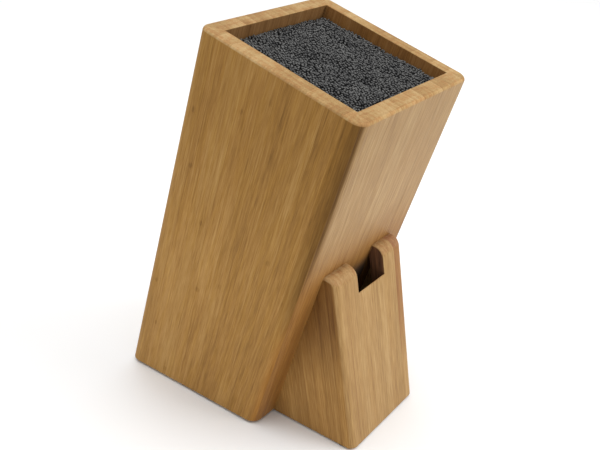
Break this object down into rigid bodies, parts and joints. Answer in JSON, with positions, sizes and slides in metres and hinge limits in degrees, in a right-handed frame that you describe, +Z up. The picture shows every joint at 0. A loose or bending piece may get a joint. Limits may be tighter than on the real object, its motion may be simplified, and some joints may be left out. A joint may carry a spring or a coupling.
{
  "type": "leaning bristle knife block",
  "caption": "Leaning bamboo knife block: a mitred case with a lift-out black bristle insert, propped on a hollow notched stand. Empty, without knives.",
  "frame": {"origin": "middle of the whole block's footprint box, on the surface that it stands on", "axes": "+Z up; -Y towards the stand and the user; the case leans 16.5 degrees from +Z towards -Y; the block is mirror-symmetric about X = 0"},
  "size_m": [0.106, 0.1654, 0.2306],
  "materials": {
    "side_bamboo": "satin",
    "front_bamboo": "satin",
    "stand_side_bamboo": "satin",
    "stand_front_bamboo": "satin",
    "floor_bamboo": "matte",
    "screw_steel": "satin",
    "pad_rubber": "matte",
    "plate_plastic": "matte",
    "bristle_plastic": "satin"
  },
  "bodies": {
    "block": {"side_panel_left": "side_bamboo", "side_panel_right": "side_bamboo", "back_panel": "front_bamboo", "front_panel": "front_bamboo", "base_panel": "floor_bamboo", "stand_side_left": "stand_side_bamboo", "stand_side_right": "stand_side_bamboo", "stand_outer_panel": "stand_front_bamboo", "stand_floor": "floor_bamboo", "stand_screws": "screw_steel", "block_pad_front_left": "pad_rubber", "block_pad_front_right": "pad_rubber", "block_pad_rear_left": "pad_rubber", "block_pad_rear_right": "pad_rubber", "stand_pad_left": "pad_rubber", "stand_pad_right": "pad_rubber"},
    "bristle_insert": {"bristle_plate": "plate_plastic", "bristle_bundle": "bristle_plastic"}
  },
  "joints": [
    {"name": "insert_lift", "type": "slide", "parent": "block", "child": "bristle_insert", "axis": [0, -0.284, 0.9588], "range_m": [0, 0.235]}
  ]
}
